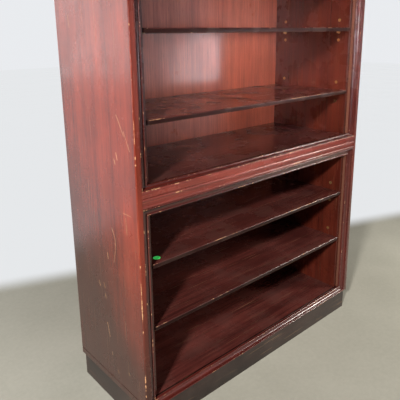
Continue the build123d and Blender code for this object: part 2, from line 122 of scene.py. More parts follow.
# ---- node helpers ----
class Nodes:
    """A short way to write a material's node tree."""

    def __init__(self, name):
        self.material = bpy.data.materials.new(name)
        self.material.use_nodes = True
        self.tree = self.material.node_tree
        self.tree.nodes.clear()
        self.output = self.tree.nodes.new("ShaderNodeOutputMaterial")
        self.shader = self.tree.nodes.new("ShaderNodeBsdfPrincipled")
        self.tree.links.new(self.shader.outputs[0], self.output.inputs["Surface"])

    def put(self, socket, value):
        if isinstance(value, bpy.types.NodeSocket):
            self.tree.links.new(value, socket)
        else:
            socket.default_value = value

    def node(self, kind, inputs, **settings):
        node = self.tree.nodes.new(kind)
        for key, value in settings.items():
            setattr(node, key, value)
        for key, value in inputs.items():
            self.put(node.inputs[key], value)
        return node

    def math(self, operation, a, b=0.0, clamp=False):
        return self.node("ShaderNodeMath", {0: a, 1: b}, operation=operation, use_clamp=clamp).outputs[0]

    def vector(self, operation, *values, output=0):
        inputs = dict(enumerate(values))
        return self.node("ShaderNodeVectorMath", inputs, operation=operation).outputs[output]

    def coordinate(self, kind):
        return self.node("ShaderNodeTexCoord", {}).outputs[kind]

    def split(self, vector):
        """The x, y and z of a vector."""
        return self.node("ShaderNodeSeparateXYZ", {0: vector}).outputs

    def place(self, scale, turn=(0.0, 0.0, 0.0), shift=(0.0, 0.0, 0.0)):
        """The piece's own coordinates, turned, scaled and shifted."""
        inputs = {"Vector": self.coordinate("Object"), "Scale": scale, "Rotation": turn, "Location": shift}
        return self.node("ShaderNodeMapping", inputs).outputs[0]

    def noise(self, vector, scale=1.0, detail=3.0, rough=0.5, distortion=0.0):
        inputs = {"Vector": vector, "Scale": scale, "Detail": detail, "Roughness": rough}
        return self.node("ShaderNodeTexNoise", {**inputs, "Distortion": distortion}).outputs[0]

    def between(self, value, low, high, to_low=0.0, to_high=1.0):
        """The value mapped smoothly from one range to another, and held at its ends."""
        inputs = {"Value": value, 1: low, 2: high, 3: to_low, 4: to_high}
        return self.node("ShaderNodeMapRange", inputs, interpolation_type="SMOOTHSTEP").outputs[0]

    def mix(self, factor, a, b, blend="MIX"):
        node = self.tree.nodes.new("ShaderNodeMix")
        node.data_type = "RGBA"
        node.blend_type = blend
        self.put(node.inputs[0], factor)
        self.put(node.inputs[6], a)
        self.put(node.inputs[7], b)
        return node.outputs[2]

    def shaded(self, tint, amount):
        """A colour made darker or lighter by one number."""
        grey = self.node("ShaderNodeCombineColor", {0: amount, 1: amount, 2: amount}).outputs[0]
        return self.mix(1.0, tint, grey, "MULTIPLY")

    def ramp(self, value, stops):
        node = self.node("ShaderNodeValToRGB", {0: value})
        band = node.color_ramp
        while len(band.elements) < len(stops):
            band.elements.new(0.5)
        for element, (position, colour) in zip(band.elements, stops):
            element.position = position
            element.color = (*colour, 1.0)
        return node.outputs[0]

    def attribute(self, name):
        return self.node("ShaderNodeAttribute", {}, attribute_name=name).outputs["Fac"]

    def bump(self, height, distance, strength=1.0, normal=None):
        inputs = {"Height": height, "Distance": distance, "Strength": strength}
        if normal is not None:
            inputs["Normal"] = normal
        return self.node("ShaderNodeBump", inputs).outputs[0]

    def finish(self, **sockets):
        for key, value in sockets.items():
            self.put(self.shader.inputs[key.replace("_", " ")], value)
        return self.material


def colour(value):
    return (*value, 1.0)


# ---- materials ----
def along(axis, across, lengthwise):
    """Texture scale that is stretched along one axis."""
    return tuple(lengthwise if name == axis else across for name in "XYZ")


BARE_WOOD = (0.66, 0.40, 0.20)
RUBBED_WOOD = (0.40, 0.14, 0.065)
# Painted shade: the colour that the low rear part of a side panel darkens towards.
LOW_REAR_SHADE_TONE = (0.036, 0.015, 0.010)
# Painted shade: the colour of the faces of a shelf that look to the front.
FRONT_FACE_SHADE_TONE = (0.012, 0.004, 0.003)
DUST = (0.32, 0.24, 0.20)
STROKE_SHAKE = 0.0022  # metres: how unsteadily a drawn scratch runs
STROKE_CORE = 0.35  # part of a drawn scratch's half width that is fully bare


def drawn_strokes(m, strokes):
    """How far a point lies in any of the scratches, which run from one (y, z) to another."""
    flat = m.vector("MULTIPLY", m.coordinate("Object"), (0.0, 1.0, 1.0))
    shake = m.node("ShaderNodeTexNoise", {"Vector": flat, "Scale": 240.0, "Detail": 2.0}).outputs["Color"]
    shake = m.vector("SUBTRACT", shake, (0.5, 0.5, 0.5))
    shaken = m.vector("MULTIPLY_ADD", shake, (0.0, STROKE_SHAKE, STROKE_SHAKE), flat)
    total = None
    for y0, z0, y1, z1, half, depth in strokes:
        run = Vector((0.0, y1 - y0, z1 - z0))
        way = tuple(run.normalized())
        offset = m.vector("SUBTRACT", shaken, (0.0, y0, z0))
        reach = m.vector("DOT_PRODUCT", offset, way, output="Value")
        held = m.math("MINIMUM", m.math("MAXIMUM", reach, 0.0), run.length)
        spot = m.node("ShaderNodeVectorMath", {0: way, "Scale": held}, operation="SCALE").outputs[0]
        gap = m.vector("DISTANCE", offset, spot, output="Value")
        cut = m.math("MULTIPLY", m.between(gap, half, half * STROKE_CORE), depth)
        total = cut if total is None else m.math("MAXIMUM", total, cut)
    return total


def lacquered(
    name, grain, dark, middle, light, gloss, coat, nicks, seed,
    dust=0.0, strokes=(), low_rear_shade=0.0, front_face_shade=0.0,
):
    """Old red mahogany under lacquer: figure, fine grain, pores, scratches, dust and worn edges.

    grain is the axis along it, and dark, middle and light are the tones of the figure. gloss is the roughness
    of clean lacquer, coat its weight and nicks the strength of the random marks. low_rear_shade paints shade
    on the low rear part, front_face_shade paints shade on the faces that look to the front, and strokes are
    scratches drawn one by one.
    """
    m = Nodes(name)
    shift = (seed * 1.7, seed * 2.3, seed * 3.1)
    figure = m.noise(m.place(along(grain, 24.0, 1.0), shift=shift), detail=4.0, rough=0.6, distortion=0.7)
    ribbon = m.noise(m.place(along(grain, 130.0, 2.4), shift=shift), detail=3.0, rough=0.6)
    fine = m.noise(m.place(along(grain, 520.0, 9.0), shift=shift), detail=3.0, rough=0.65)
    pores = m.noise(m.place(along(grain, 1150.0, 34.0), shift=shift), detail=2.0, rough=0.5)
    cloud = m.noise(m.place((4.0, 4.0, 4.0), shift=shift), detail=3.0, rough=0.6)
    wood = m.ramp(figure, [(0.22, dark), (0.50, middle), (0.80, light)])
    wood = m.mix(m.between(ribbon, 0.35, 0.68), wood, m.mix(0.45, wood, colour(light)))
    shade = m.between(fine, 0.30, 0.70, 0.74, 1.16)
    wood = m.shaded(wood, shade)
    pore_mask = m.between(pores, 0.60, 0.70)
    wood = m.mix(m.math("MULTIPLY", pore_mask, 0.55), wood, colour([c * 0.35 for c in dark]))
    stain = m.between(cloud, 0.32, 0.70, 0.80, 1.15)
    wood = m.shaded(wood, stain)

    # Painted shade: the colour darkens towards the bottom and the rear of the piece, with ragged bounds.
    if low_rear_shade:
        spot = m.split(m.coordinate("Object"))
        level = m.math("SUBTRACT", spot[2], spot[1])
        ragged = m.math("MULTIPLY", m.math("SUBTRACT", cloud, 0.5), 0.30)
        low_rear_shade_mask = m.between(m.math("ADD", level, ragged), 0.78, 0.20)
        wood = m.mix(m.math("MULTIPLY", low_rear_shade_mask, low_rear_shade), wood, colour(LOW_REAR_SHADE_TONE))

    specular = 0.5
    # Painted shade: faces that look to the front are darkened, and their coat and specular are turned down.
    if front_face_shade:
        facing = m.split(m.coordinate("Normal"))[1]
        fore = m.math("MULTIPLY", m.between(facing, -0.90, -0.985), front_face_shade)
        wood = m.mix(fore, wood, colour(FRONT_FACE_SHADE_TONE))
        clean = m.math("SUBTRACT", 1.0, fore)
        coat = m.math("MULTIPLY", clean, coat)
        specular = m.math("MULTIPLY", clean, specular)

    # Hairline scratches at three angles, and short pale nicks.
    scratch = None
    for turn, cut in ((0.22, 0.725), (-0.5, 0.735), (1.25, 0.745)):
        turned = m.place(along(grain, 330.0, 5.0), turn=(turn, turn * 0.8, turn * 0.6), shift=shift)
        line = m.between(m.noise(turned, detail=1.0), cut, cut + 0.035)
        scratch = line if scratch is None else m.math("MAXIMUM", scratch, line)
    tilted = m.place(along(grain, 17.0, 7.0), turn=(0.1, 0.12, 0.08), shift=shift)
    cells = m.node("ShaderNodeTexVoronoi", {"Vector": tilted}).outputs
    lone = m.node("ShaderNodeSeparateColor", {0: cells["Color"]}).outputs[0]
    nick = m.math("MULTIPLY", m.between(cells["Distance"], 0.05, 0.022), m.between(lone, 0.86, 0.90))
    marks = m.math("MULTIPLY", m.math("MAXIMUM", m.math("MULTIPLY", scratch, 0.35), nick), nicks, clamp=True)
    wood = m.mix(m.math("MULTIPLY", marks, 0.55), wood, colour(BARE_WOOD))
    if strokes:
        cuts = drawn_strokes(m, strokes)
        wood = m.mix(m.math("MULTIPLY", cuts, 0.7), wood, colour(BARE_WOOD))
        marks = m.math("MAXIMUM", marks, cuts)

    # Wear, with a painted highlight along some edges, is painted on the piece's own points, and broken up
    # here.
    worn = m.attribute("wear")
    grit = m.noise(m.place((420.0, 420.0, 420.0), shift=shift), detail=3.0, rough=0.7)
    ragged = m.math("MULTIPLY", m.math("SUBTRACT", grit, 0.5), 0.55)
    worn = m.between(m.math("ADD", worn, ragged), 0.34, 0.66)
    wood = m.mix(worn, wood, m.ramp(grit, [(0.30, RUBBED_WOOD), (0.62, BARE_WOOD)]))

    film = m.noise(m.place((9.0, 9.0, 9.0), shift=shift), detail=5.0, rough=0.62)
    dusty = m.math("MULTIPLY", m.between(film, 0.40, 0.72), dust)
    wood = m.mix(dusty, wood, colour(DUST))

    rough = m.between(film, 0.30, 0.72, gloss - 0.03, gloss + 0.10)
    rough = m.math("ADD", rough, m.math("MULTIPLY", fine, 0.06))
    rough = m.math("ADD", rough, m.math("MULTIPLY", m.math("MAXIMUM", marks, worn), 0.35), clamp=True)
    height = m.math("SUBTRACT", m.math("MULTIPLY", fine, 0.35), m.math("MULTIPLY", pore_mask, 0.5))
    height = m.math("SUBTRACT", height, m.math("MULTIPLY", marks, 1.3))
    surface = m.bump(height, 0.00022, 0.32)
    ripple = m.noise(m.place(along(grain, 42.0, 12.0), shift=shift), detail=1.0)
    surface = m.bump(ripple, 0.0005, 0.05, surface)
    return m.finish(
        Base_Color=wood, Roughness=rough, Normal=surface, Coat_Normal=surface, Coat_Roughness=0.11,
        Coat_Weight=coat, Specular_IOR_Level=specular,
    )


CASE_TONES = ((0.032, 0.0048, 0.0042), (0.080, 0.0115, 0.0085), (0.145, 0.0230, 0.0155))
SIDE_TONES = ((0.085, 0.0090, 0.0050), (0.175, 0.0210, 0.0100), (0.290, 0.0420, 0.0190))
# Lighter than the case's tones: the rail's own wood with a painted sheen.
RAIL_TONES_WITH_SHEEN = ((0.100, 0.0140, 0.0100), (0.210, 0.0340, 0.0230), (0.320, 0.0600, 0.0400))
# Lighter and greyer than the case's tones: the back's own aged wood with a painted glow.
BACK_TONES_WITH_GLOW = ((0.180, 0.0280, 0.0130), (0.330, 0.0680, 0.0320), (0.480, 0.1150, 0.0580))
# Greyer than the case's tones: the shelves' own wood with a painted cool reflection.
SHELF_TONES_WITH_SHEEN = ((0.032, 0.0080, 0.0072), (0.082, 0.0190, 0.0160), (0.145, 0.0360, 0.0290))
LINING_TONES = ((0.032, 0.0050, 0.0035), (0.080, 0.0125, 0.0070), (0.140, 0.0260, 0.0125))
PLINTH_TONES = ((0.006, 0.0028, 0.0024), (0.015, 0.0055, 0.0045), (0.034, 0.0115, 0.0085))


def raw_wood(name, grain, dark, light, seed=0.0):
    """Unfinished timber: figure and grain without lacquer."""
    m = Nodes(name)
    shift = (seed, seed * 1.9, seed * 2.7)
    figure = m.noise(m.place(along(grain, 30.0, 1.6), shift=shift), detail=4.0, distortion=0.9)
    fine = m.noise(m.place(along(grain, 600.0, 14.0), shift=shift), detail=3.0, rough=0.7)
    both = m.math("ADD", m.math("MULTIPLY", figure, 0.7), m.math("MULTIPLY", fine, 0.3))
    return m.finish(
        Base_Color=m.ramp(both, [(0.3, dark), (0.7, light)]),
        Roughness=m.between(fine, 0.3, 0.7, 0.68, 0.86),
        Normal=m.bump(fine, 0.0003, 0.5),
    )


def metal(name, tint, tarnish, rough):
    """Drawn or turned metal with a tarnished film and fine turning marks."""
    m = Nodes(name)
    film = m.noise(m.place((260.0, 260.0, 260.0)), detail=4.0, rough=0.65)
    lines = m.noise(m.place((2600.0, 700.0, 700.0)), detail=2.0)
    return m.finish(
        Base_Color=m.mix(m.between(film, 0.42, 0.68), colour(tint), colour(tarnish)),
        Metallic=1.0,
        Roughness=m.between(film, 0.3, 0.7, rough, rough + 0.25),
        Normal=m.bump(lines, 0.00006, 0.4),
    )


def sticker_paper():
    """Matt green paper with a painted glow that keeps it bright in the shade."""
    m = Nodes("sticker_green")
    fibre = m.noise(m.place((900.0, 900.0, 900.0)), detail=4.0)
    fade = m.noise(m.place((70.0, 70.0, 70.0)), detail=2.0)
    tint = m.ramp(fade, [(0.3, (0.03, 0.62, 0.09)), (0.7, (0.09, 0.85, 0.20))])
    return m.finish(
        Base_Color=tint, Roughness=m.between(fibre, 0.3, 0.7, 0.50, 0.70), Normal=m.bump(fibre, 0.00008, 0.5),
        Emission_Color=tint, Emission_Strength=PAINTED_GLOW,
    )


def floor_paint():
    """Pale floor that runs out into a white, evenly lit studio sweep."""
    m = Nodes("studio_floor")
    cloud = m.noise(m.place((1.3, 1.3, 1.3)), detail=5.0, rough=0.6)
    speck = m.noise(m.place((70.0, 70.0, 70.0)), detail=4.0, rough=0.7)
    both = m.math("ADD", m.math("MULTIPLY", cloud, 0.7), m.math("MULTIPLY", speck, 0.3))
    tint = m.ramp(both, [(0.35, (0.37, 0.365, 0.305)), (0.65, (0.48, 0.47, 0.40))])
    place = m.coordinate("Object")
    spot = m.split(place)
    beyond = m.math("SUBTRACT", spot[1], m.math("MULTIPLY", spot[0], SWEEP_LEAN))
    back = m.between(beyond, SWEEP_START - SWEEP_BLEND / 2, SWEEP_START + SWEEP_BLEND / 2)
    reach = m.vector("LENGTH", place, output="Value")
    far = m.between(reach, *SWEEP_ROUND)
    path = m.node("ShaderNodeLightPath", {}).outputs
    seen = path["Is Camera Ray"]
    back_glow = m.math("MAXIMUM", m.math("MULTIPLY", path["Is Glossy Ray"], SWEEP_MIRRORED), SWEEP_SHED)
    back_glow = m.math("MULTIPLY", back, m.math("MAXIMUM", seen, back_glow))
    far_glow = m.math("MULTIPLY", far, m.math("MAXIMUM", seen, SWEEP_ROUND_SHED))
    return m.finish(
        Base_Color=m.mix(m.math("MAXIMUM", back, far), tint, colour((0.0, 0.0, 0.0))),
        Roughness=m.between(cloud, 0.3, 0.7, 0.45, 0.62),
        Normal=m.bump(speck, 0.0006, 0.25),
        Emission_Color=colour((0.93, 0.95, 0.97)),
        Emission_Strength=m.math("MULTIPLY", m.math("MAXIMUM", back_glow, far_glow), SWEEP_BRIGHTNESS),
    )


# Scratches in the side panels: from (y, z) to (y, z) and half the width, in metres, then how pale they are.
LEFT_SCRATCHES = [
    (0.102, 1.060, 0.098, 1.030, 0.0008, 1.0),
    (-0.098, 0.835, -0.125, 0.790, 0.0009, 0.9),
    (-0.125, 0.800, -0.147, 0.757, 0.0008, 0.7),
    (-0.088, 0.745, -0.092, 0.728, 0.0013, 0.9),
    (-0.078, 0.728, -0.082, 0.716, 0.0013, 0.9),
    (-0.106, 0.600, -0.140, 0.600, 0.0012, 0.45),
    (-0.116, 0.590, -0.118, 0.548, 0.0008, 1.0),
    (-0.050, 0.545, -0.062, 0.520, 0.0010, 1.0),
    (-0.062, 0.520, -0.062, 0.490, 0.0009, 0.9),
    (-0.060, 0.488, -0.050, 0.452, 0.0008, 0.7),
    (-0.020, 0.468, -0.022, 0.452, 0.0014, 0.9),
    (0.034, 0.368, 0.028, 0.354, 0.0014, 0.9),
    (0.009, 0.372, 0.004, 0.358, 0.0014, 0.9),
    (0.006, 0.340, 0.002, 0.328, 0.0015, 0.7),
    (0.004, 0.255, -0.006, 0.215, 0.0010, 0.9),
    (-0.012, 0.170, -0.014, 0.162, 0.0014, 0.7),
    (-0.038, 0.128, -0.041, 0.120, 0.0014, 0.7),
    (-0.092, 0.150, -0.096, 0.144, 0.0014, 0.7),
]


def random_scratches(seed, count):
    """Scratches like the drawn ones, anywhere on a side panel."""
    rng = random.Random(seed)
    found = []
    for _ in range(count):
        y, z = rng.uniform(-0.14, 0.15), rng.uniform(0.12, 1.15)
        lean, reach = rng.gauss(0.0, 0.3), rng.uniform(0.008, 0.045)
        end = (y + reach * math.sin(lean), z - reach * math.cos(lean))
        found.append((y, z, *end, rng.uniform(0.0007, 0.0013), rng.uniform(0.4, 1.0)))
    return found


UPRIGHT = lacquered("case_mahogany_upright", "Z", *CASE_TONES, gloss=0.20, coat=0.35, nicks=1.0, seed=1.0)
LEFT_SIDE = lacquered(
    "case_mahogany_left", "Z", *SIDE_TONES, gloss=0.20, coat=0.14, nicks=0.6, seed=1.0,
    strokes=LEFT_SCRATCHES, low_rear_shade=0.85,
)
RIGHT_SIDE = lacquered(
    "case_mahogany_right", "Z", *SIDE_TONES, gloss=0.30, coat=0.22, nicks=0.7, seed=8.0,
    strokes=random_scratches(13, 14), low_rear_shade=0.65,
)
RAIL = lacquered("case_mahogany_rail", "X", *RAIL_TONES_WITH_SHEEN, gloss=0.20, coat=0.35, nicks=1.0, seed=9.0)
CROSS = lacquered("case_mahogany_cross", "X", *CASE_TONES, gloss=0.20, coat=0.35, nicks=1.0, seed=2.0)
SHELF = lacquered(
    "shelf_mahogany_worn", "X", *SHELF_TONES_WITH_SHEEN, gloss=0.20, coat=0.30, nicks=0.8, seed=3.0,
    dust=0.06, front_face_shade=0.85,
)
LINING = lacquered("lining_mahogany_aged", "Z", *LINING_TONES, gloss=0.20, coat=0.30, nicks=0.4, seed=4.0)
BACK = lacquered("back_mahogany_aged", "Z", *BACK_TONES_WITH_GLOW, gloss=0.27, coat=0.30, nicks=0.3, seed=5.0)
PLINTH = lacquered(
    "plinth_mahogany_scuffed", "X", *PLINTH_TONES, gloss=0.34, coat=0.15, nicks=1.4, seed=6.0, dust=0.08
)
PLINTH_SIDE = lacquered(
    "plinth_mahogany_side", "Y", *PLINTH_TONES, gloss=0.34, coat=0.15, nicks=1.2, seed=7.0, dust=0.08
)
TOP = lacquered("top_mahogany_dulled", "X", *CASE_TONES, gloss=0.38, coat=0.06, nicks=1.0, seed=10.0)
BATTEN = raw_wood("batten_mahogany_raw", "Z", (0.12, 0.04, 0.022), (0.23, 0.09, 0.05), 1.0)
DOWEL = raw_wood("dowel_beech_raw", "X", (0.46, 0.30, 0.17), (0.62, 0.43, 0.26), 2.0)
BLOCK = raw_wood("glue_block_pine_raw", "Z", (0.42, 0.26, 0.12), (0.62, 0.43, 0.23), 3.0)
BRASS = metal("pin_brass_aged", (0.95, 0.76, 0.42), (0.66, 0.44, 0.19), 0.30)
SOCKET = metal("socket_brass_aged", (0.86, 0.64, 0.32), (0.45, 0.28, 0.12), 0.36)
STEEL = metal("screw_steel_dull", (0.52, 0.51, 0.50), (0.22, 0.20, 0.18), 0.35)

BY_SLOT = {
    "case_mahogany": CROSS,
    "lining_mahogany": LINING,
    "shelf_mahogany": SHELF,
    "back_mahogany": BACK,
    "batten_mahogany": BATTEN,
    "plinth_mahogany": PLINTH,
    "pin_brass": BRASS,
    "socket_brass": SOCKET,
    "screw_steel": STEEL,
    "dowel_beech": DOWEL,
    "glue_block_pine": BLOCK,
}
BY_NODE = {
    "side_panel_left": LEFT_SIDE,
    "side_panel_right": RIGHT_SIDE,
    "plinth_left": PLINTH_SIDE,
    "plinth_right": PLINTH_SIDE,
    "bottom_board": SHELF,
    "middle_board": SHELF,
    "mid_rail": RAIL,
    "top_panel": TOP,
    **{f"{bay}_frame_{side}": UPRIGHT for bay in ("upper", "lower") for side in ("left", "right")},
}


SLOTS = {node: obj.data.materials[0].name for node, obj in NODES.items()}


def material_of(node):
    return BY_NODE.get(node) or BY_SLOT[SLOTS[node]]


def add_object(name, data):
    obj = bpy.data.objects.new(name, data)
    bpy.context.scene.collection.objects.link(obj)
    return obj


# ---- worn edges, in mesh code ----
def wavering(places, rng, wavelength):
    """Smooth random values from 0 to 1 along an edge, that change over about one wavelength."""
    span = places.max() - places.min()
    knots = np.array([rng.random() for _ in range(int(span / wavelength) + 3)])
    where = (places - places.min()) / wavelength
    index = where.astype(int)
    part = where - index
    part = part * part * (3 - 2 * part)
    return knots[index] * (1 - part) + knots[index + 1] * part


def rubbing(places, rng, amount):
    """How hard an edge is rubbed at each place: long worn stretches, broken up finely."""
    stretch = np.clip(wavering(places, rng, 0.11) * 1.9 - 0.75, 0, 1)
    layers = ((0.5, 0.016), (0.3, 0.006), (0.2, 0.003))
    broken = sum(part * wavering(places, rng, length) for part, length in layers)
    return amount * (0.35 + 0.85 * stretch) * np.clip(broken * 2.0 - 0.35, 0, 1.4)


def chipping(places, rng, per_metre):
    """Random chips, most of them near one another."""
    total = np.zeros_like(places)
    low, high = float(places.min()), float(places.max())
    centre = low
    for _ in range(int(per_metre * (high - low))):
        if rng.random() < 0.4:
            centre = rng.uniform(low, high)
        centre = min(max(centre + rng.gauss(0.0, 0.012), low), high)
        half = rng.uniform(0.0008, 0.0030) * rng.uniform(0.6, 1.5)
        strength = rng.uniform(0.4, STRONGEST_CHIP)
        total = np.maximum(total, strength * np.exp(-(((places - centre) / half) ** 4)))
    return total


def edge(place, reach, chips, depth, rub):
    """An edge that wears: its place in the profile, then its reach in mm, chips for each metre, their depth
    in mm and how hard it is rubbed."""
    return place, reach * MM, chips, depth * MM, rub


def inward_directions(profile):
    """For each point of a closed profile, the unit direction into the solid."""
    before = np.roll(profile, 1, axis=0)
    after = np.roll(profile, -1, axis=0)
    tangent = after - before
    normal = np.stack([-tangent[:, 1], tangent[:, 0]], axis=1)
    normal /= np.maximum(np.linalg.norm(normal, axis=1, keepdims=True), 1e-9)
    area = np.sum(profile[:, 0] * after[:, 1] - after[:, 0] * profile[:, 1])
    return normal if area > 0 else -normal


def worn_piece(name, node, profile, frame_axes, start, end, rings, edges, seed, relief=None, heavy=()):
    """A piece with one profile along its run, whose edges are rubbed and chipped.

    profile is a closed line of (a, b) points. frame_axes are the origin and the directions of a, b and
    the run. start and end give each point's ends of the run. rings are places from 0 to 1 along it.
    edges holds an edge() for each edge that wears.
    heavy is a list of (place along the run, half length, rub), where the first of them wears most.
    """
    origin, a_axis, b_axis, run = frame_axes
    profile = np.asarray(profile, float)
    rings = np.asarray(rings, float)
    rng = random.Random(seed)
    inward = inward_directions(profile)
    count = len(profile)
    start = np.broadcast_to(start, count)
    end = np.broadcast_to(end, count)
    along_run = start[None, :] + (end - start)[None, :] * rings[:, None]
    middle = along_run.mean(axis=1)
    sink = np.zeros((len(rings), count))
    wear = np.zeros((len(rings), count))
    for number, (spot, reach, per_metre, depth, rub) in enumerate(edges):
        gap = np.linalg.norm(profile - np.asarray(spot, float), axis=1)
        weight = np.exp(-((gap / reach) ** 2))
        chips = chipping(middle, rng, per_metre)
        rubbed = rubbing(middle, rng, rub)
        for centre, half, more in heavy if number == 0 else ():
            ragged = 0.35 + 0.65 * wavering(middle, rng, 0.005)
            rubbed = rubbed + more * ragged * np.exp(-(((middle - centre) / half) ** 4))
        sink += weight[None, :] * (chips * depth / STRONGEST_CHIP + rubbed * RUB_DEPTH)[:, None]
        wear = np.maximum(wear, weight[None, :] * (chips + rubbed)[:, None])
    if relief is not None:
        sink += relief(along_run, profile)
    points = profile[None, :, :] + inward[None, :, :] * sink[:, :, None]
    basis = np.array([list(a_axis), list(b_axis), list(run)])
    local = np.stack([points[:, :, 0], points[:, :, 1], along_run], axis=-1)
    co = local.reshape(-1, 3) @ basis + np.array(list(origin))
    index = np.arange(len(rings) * count).reshape(len(rings), count)
    beside = np.roll(index, -1, axis=1)
    quads = np.stack([index[:-1], beside[:-1], beside[1:], index[1:]], axis=-1).reshape(-1, 4)
    faces = quads.tolist() + [index[0][::-1].tolist(), index[-1].tolist()]
    mesh = bpy.data.meshes.new(name)
    mesh.from_pydata(co.tolist(), [], faces)
    built = bmesh.new()
    built.from_mesh(mesh)
    bmesh.ops.recalc_face_normals(built, faces=built.faces)
    built.to_mesh(mesh)
    built.free()
    layer = mesh.attributes.new("wear", "FLOAT", "POINT")
    layer.data.foreach_set("value", np.clip(wear, 0, 1).astype(np.float32).ravel())
    mesh.polygons.foreach_set("use_smooth", [True] * len(mesh.polygons))
    mesh.set_sharp_from_angle(angle=math.radians(SHARP_ANGLE))
    mesh.materials.append(material_of(node))
    piece = add_object(name, mesh)
    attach(piece, BODY_OF[node])
    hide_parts(node)


def arc(centre, radii, from_deg, to_deg, steps):
    """Points on an arc, with both ends."""
    angles = np.radians(np.linspace(from_deg, to_deg, steps + 1))
    return [(centre[0] + radii[0] * math.cos(t), centre[1] + radii[1] * math.sin(t)) for t in angles]


def line(a, b, steps):
    """Points on a straight line, without its ends."""
    return [(a[0] + (b[0] - a[0]) * i / steps, a[1] + (b[1] - a[1]) * i / steps) for i in range(1, steps)]


BOARD_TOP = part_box("bottom_board")[1].z


def side_panel(side, sign, seed):
    """A side panel with a rounded front corner and a groove above the band at its foot."""
    node = f"side_panel_{side}"
    low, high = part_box(node)
    thick = high.x - low.x
    deep = high.y - low.y
    r = SIDE_CORNER_RADIUS
    corner = arc((r, r), (r, r), 270, 180, 6)
    profile = [(thick, 0.0), *corner]
    profile += [(0.0, r + extra * MM) for extra in (0.8, 1.8, 3.2, 6.0, 12.0)]
    profile += line((0.0, r + 12 * MM), (0.0, deep), 12)
    profile += [(0.0, deep), (thick, deep)]
    height = high.z - low.z
    groove = BOARD_TOP - low.z
    half = BAND_GROOVE_WIDTH / 2
    rings = list(np.arange(0.0, height, SIDE_RING)) + [height]
    rings = [z for z in rings if abs(z - groove) > 2 * half]
    rings += [groove - half - GROOVE_WALL, groove - half, groove + half, groove + half + GROOVE_WALL]
    rings += [BAND_GROOVE_DEPTH]
    rings = np.unique(np.array(rings)) / height

    def relief(run, points):
        """How deep the outer face lies: the groove above the foot band, and a small arris at the floor."""
        outer = (points[:, 0] < r * 0.9)[None, :]
        in_groove = np.abs(run - groove) <= half + GROOVE_WALL / 5
        foot = np.clip(BAND_GROOVE_DEPTH - run, 0, BAND_GROOVE_DEPTH)
        return np.where(outer, np.where(in_groove, BAND_GROOVE_DEPTH, foot), 0.0)

    origin = Vector((low.x if sign < 0 else high.x, low.y, low.z))
    axes = (origin, X * -sign, Y, Z)
    edges = [edge((CORNER_CROWN * r, CORNER_CROWN * r), reach=1.5, chips=26, depth=0.7, rub=0.42)]
    heavy = [(0.315, 0.075, 0.5), (0.10, 0.03, 0.25), (0.70, 0.04, 0.15)]
    worn_piece(f"{node}_worn", node, profile, axes, 0.0, height, rings, edges, seed, relief, heavy)


def strip_profile(width):
    """Front moulding of a frame strip: outer bead, quirk, cove and inner bead, as (across, back)."""
    k = width / FULL_STRIP
    low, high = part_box("lower_frame_left")
    thick = high.y - low.y
    base = INNER_BEAD_SETBACK + INNER_BEAD
    quirk = 2 * OUTER_BEAD
    cove = quirk + QUIRK
    cove_end = FULL_STRIP - 2 * INNER_BEAD
    centre = FULL_STRIP - INNER_BEAD
    points = [(0.0, thick)]
    points += arc((OUTER_BEAD * k, OUTER_BEAD), (OUTER_BEAD * k, OUTER_BEAD), 180, 360, 8)
    points += [(quirk * k, QUIRK_DEPTH), (cove * k, QUIRK_DEPTH)]
    points += arc((cove_end * k, QUIRK_DEPTH), ((cove_end - cove) * k, base - QUIRK_DEPTH), 180, 90, 8)[1:]
    points += arc((centre * k, base), (INNER_BEAD * k, INNER_BEAD), 180, 360, 8)[1:]
    points += [(width, thick)]
    return points, (OUTER_BEAD * k, 0.0), (centre * k, INNER_BEAD_SETBACK)


def frame_strip(bay, side, seed):
    """A strip of the frame round a bay's opening, with mitred ends."""
    node = f"{bay}_frame_{side}"
    low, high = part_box(node)
    boxes = {end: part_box(f"{bay}_frame_{end}") for end in ("left", "right", "top", "bottom")}
    upright = side in ("left", "right")
    if upright:
        width, length = high.x - low.x, high.z - low.z
        meets = [boxes[end][1].z - boxes[end][0].z for end in ("bottom", "top")]
        origin = Vector((low.x if side == "left" else high.x, low.y, low.z))
        axes = (origin, X if side == "left" else -X, Y, Z)
    else:
        width, length = high.z - low.z, high.x - low.x
        meets = [boxes[end][1].x - boxes[end][0].x for end in ("left", "right")]
        origin = Vector((low.x, low.y, low.z if side == "bottom" else high.z))
        axes = (origin, Z if side == "bottom" else -Z, Y, X)
    profile, outer_crown, inner_crown = strip_profile(width)
    across = np.array([p[0] for p in profile]) / width
    rings = np.linspace(0, 1, int(length / STRIP_RING) + 1)
    # The bottom strip is rubbed harder: its pale lines along the beads are wear and partly a painted
    # highlight.
    worn = 1.6 if side == "bottom" else 1.0
    edges = [
        edge(outer_crown, reach=0.9, chips=14, depth=0.4, rub=0.42 * worn),
        edge(inner_crown, reach=1.0, chips=22, depth=0.5, rub=0.46 * worn),
    ]
    start, end = across * meets[0], length - across * meets[1]
    worn_piece(f"{node}_worn", node, profile, axes, start, end, rings, edges, seed)


